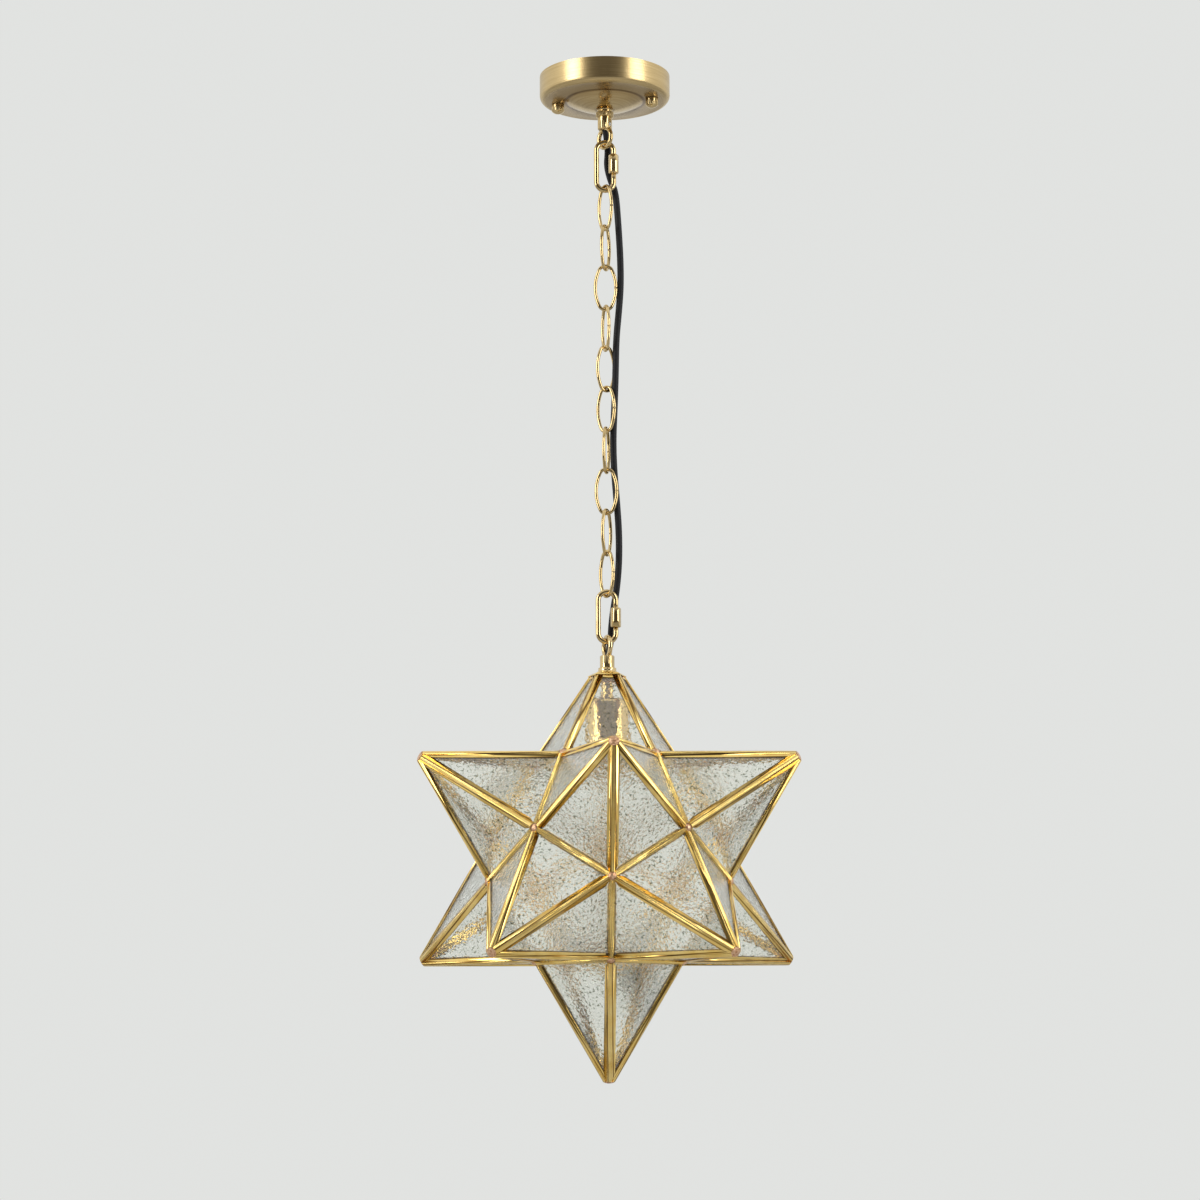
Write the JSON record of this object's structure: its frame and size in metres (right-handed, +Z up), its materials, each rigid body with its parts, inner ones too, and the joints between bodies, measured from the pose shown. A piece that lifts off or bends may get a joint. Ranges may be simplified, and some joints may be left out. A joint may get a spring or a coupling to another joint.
{
  "type": "star pendant light",
  "caption": "Moravian star lantern of brass cames and seeded glass, hung on a brass chain from a round canopy.",
  "frame": {"origin": "centre of the canopy's rim, in the plane of the ceiling", "axes": "+Z up to the ceiling, -Y to the front, the lamp hangs along -Z"},
  "size_m": [0.3536, 0.3674, 0.9567],
  "materials": {
    "brass_satin": "satin brushed",
    "brass_polished": "polished",
    "steel": "zinc plated",
    "green_screw": "gloss",
    "glass": "clear, seeded, pale green grey",
    "solder": "smooth, plated to a pinkish brass",
    "cord_black": "satin",
    "porcelain": "glazed porcelain"
  },
  "bodies": {
    "ceiling_fixture": {"mounting_bracket": "steel", "bracket_studs": "steel", "stud_nuts": "steel", "earth_screw": "green_screw", "canopy_pan": "brass_satin", "canopy_nipple": "steel", "canopy_washer": "steel", "canopy_lock_nut": "steel", "canopy_collar": "brass_polished", "upper_hanger": "brass_polished", "grub_screw": "steel", "cord_tail_upper": "cord_black", "supply_cord": "cord_black"},
    "cap_nut_left": {"cap_nut_left": "brass_polished"},
    "cap_nut_right": {"cap_nut_right": "brass_polished"},
    "quick_link_top": {"quick_link_top": "brass_polished"},
    "sleeve_top": {"sleeve_top": "brass_polished"},
    "chain_link_01": {"chain_link_01": "brass_polished"},
    "chain_link_02": {"chain_link_02": "brass_polished"},
    "chain_link_03": {"chain_link_03": "brass_polished"},
    "chain_link_04": {"chain_link_04": "brass_polished"},
    "chain_link_05": {"chain_link_05": "brass_polished"},
    "chain_link_06": {"chain_link_06": "brass_polished"},
    "chain_link_07": {"chain_link_07": "brass_polished"},
    "chain_link_08": {"chain_link_08": "brass_polished"},
    "chain_link_09": {"chain_link_09": "brass_polished"},
    "chain_link_10": {"chain_link_10": "brass_polished"},
    "quick_link_bottom": {"quick_link_bottom": "brass_polished"},
    "sleeve_bottom": {"sleeve_bottom": "brass_polished"},
    "star": {"lower_hanger": "brass_polished", "lower_collar": "brass_polished", "star_nipple": "steel", "star_lock_nuts": "steel", "cord_tail_lower": "cord_black", "socket_neck": "brass_polished", "socket_cup": "brass_polished", "socket_insulator": "porcelain", "screw_shell": "brass_polished", "centre_contact": "brass_polished", "cap_plate": "brass_polished", "top_ridge_cames": "brass_polished", "top_ring_cames": "brass_polished", "top_panes": "glass", "top_rails": "brass_polished", "solder_joints": "solder", "opening_frame": "brass_polished", "opening_solder": "solder", "hinge_pin": "brass_polished", "upper_ridge_cames": "brass_polished", "upper_panes": "glass", "valley_cames": "brass_polished", "tip_solder": "solder", "lower_ridge_cames": "brass_polished", "lower_panes": "glass"},
    "star_door": {"door_ridge_cames": "brass_polished", "door_panes": "glass", "door_rim": "brass_polished", "door_solder": "solder"},
    "turn_button": {"turn_button": "brass_polished"}
  },
  "joints": [
    {"name": "cap_nut_left_turn", "type": "hinge", "parent": "ceiling_fixture", "child": "cap_nut_left", "pos_m": [-0.04509, 0.00909, -0.0289], "axis": [0, 0, 1], "continuous": true},
    {"name": "cap_nut_right_turn", "type": "hinge", "parent": "ceiling_fixture", "child": "cap_nut_right", "pos_m": [0.04509, -0.00909, -0.0289], "axis": [0, 0, 1], "continuous": true},
    {"name": "upper_loop_swing", "type": "hinge", "parent": "ceiling_fixture", "child": "quick_link_top", "pos_m": [0, 0, -0.06985], "axis": [0.6018, -0.7986, 0], "range_deg": [-15, 15], "deforming": ["supply_cord"]},
    {"name": "link_01_swing", "type": "hinge", "parent": "quick_link_top", "child": "chain_link_01", "pos_m": [0, 0, -0.1125], "axis": [0.9903, 0.1392, 0], "range_deg": [-12, 12], "deforming": ["supply_cord"]},
    {"name": "link_02_swing", "type": "hinge", "parent": "chain_link_01", "child": "chain_link_02", "pos_m": [0, 0, -0.15113], "axis": [0.6018, -0.7986, 0], "range_deg": [-12, 12], "deforming": ["supply_cord"]},
    {"name": "link_03_swing", "type": "hinge", "parent": "chain_link_02", "child": "chain_link_03", "pos_m": [0, 0, -0.19056], "axis": [0.3746, 0.9272, 0], "range_deg": [-12, 12], "deforming": ["supply_cord"]},
    {"name": "link_04_swing", "type": "hinge", "parent": "chain_link_03", "child": "chain_link_04", "pos_m": [0, 0, -0.22999], "axis": [1, 0, 0], "range_deg": [-12, 12], "deforming": ["supply_cord"]},
    {"name": "link_05_swing", "type": "hinge", "parent": "chain_link_04", "child": "chain_link_05", "pos_m": [0, 0, -0.26942], "axis": [0.309, -0.9511, 0], "range_deg": [-12, 12], "deforming": ["supply_cord"]},
    {"name": "link_06_swing", "type": "hinge", "parent": "chain_link_05", "child": "chain_link_06", "pos_m": [0, 0, -0.30885], "axis": [0.809, 0.5878, 0], "range_deg": [-12, 12], "deforming": ["supply_cord"]},
    {"name": "link_07_swing", "type": "hinge", "parent": "chain_link_06", "child": "chain_link_07", "pos_m": [0, 0, -0.34828], "axis": [0.788, -0.6157, 0], "range_deg": [-12, 12], "deforming": ["supply_cord"]},
    {"name": "link_08_swing", "type": "hinge", "parent": "chain_link_07", "child": "chain_link_08", "pos_m": [0, 0, -0.38771], "axis": [0.2419, 0.9703, 0], "range_deg": [-12, 12], "deforming": ["supply_cord"]},
    {"name": "link_09_swing", "type": "hinge", "parent": "chain_link_08", "child": "chain_link_09", "pos_m": [0, 0, -0.42714], "axis": [0.9903, -0.1392, 0], "range_deg": [-12, 12], "deforming": ["supply_cord"]},
    {"name": "link_10_swing", "type": "hinge", "parent": "chain_link_09", "child": "chain_link_10", "pos_m": [0, 0, -0.46657], "axis": [0.3907, 0.9205, 0], "range_deg": [-12, 12], "deforming": ["supply_cord"]},
    {"name": "quick_link_bottom_swing", "type": "hinge", "parent": "chain_link_10", "child": "quick_link_bottom", "pos_m": [0, 0, -0.506], "axis": [0.6018, -0.7986, 0], "range_deg": [-12, 12], "deforming": ["supply_cord"]},
    {"name": "star_swing", "type": "hinge", "parent": "quick_link_bottom", "child": "star", "pos_m": [0, 0, -0.5492], "axis": [0.9903, 0.1392, 0], "range_deg": [-20, 20], "deforming": ["supply_cord"]},
    {"name": "sleeve_top_travel", "type": "slide", "parent": "quick_link_top", "child": "sleeve_top", "axis": [0, 0, 1], "range_m": [-0.0084, 0]},
    {"name": "sleeve_bottom_travel", "type": "slide", "parent": "quick_link_bottom", "child": "sleeve_bottom", "axis": [0, 0, 1], "range_m": [0, 0.0065]},
    {"name": "door_swing", "type": "hinge", "parent": "star", "child": "star_door", "pos_m": [0.032, 0.109, -0.7527], "axis": [0.8162, -0.2396, -0.5257], "range_deg": [0, 95]},
    {"name": "turn_button_turn", "type": "hinge", "parent": "star", "child": "turn_button", "pos_m": [-0.00168, 0.05876, -0.85086], "axis": [-0.015, 0.5255, -0.8506], "range_deg": [0, 90]}
  ]
}
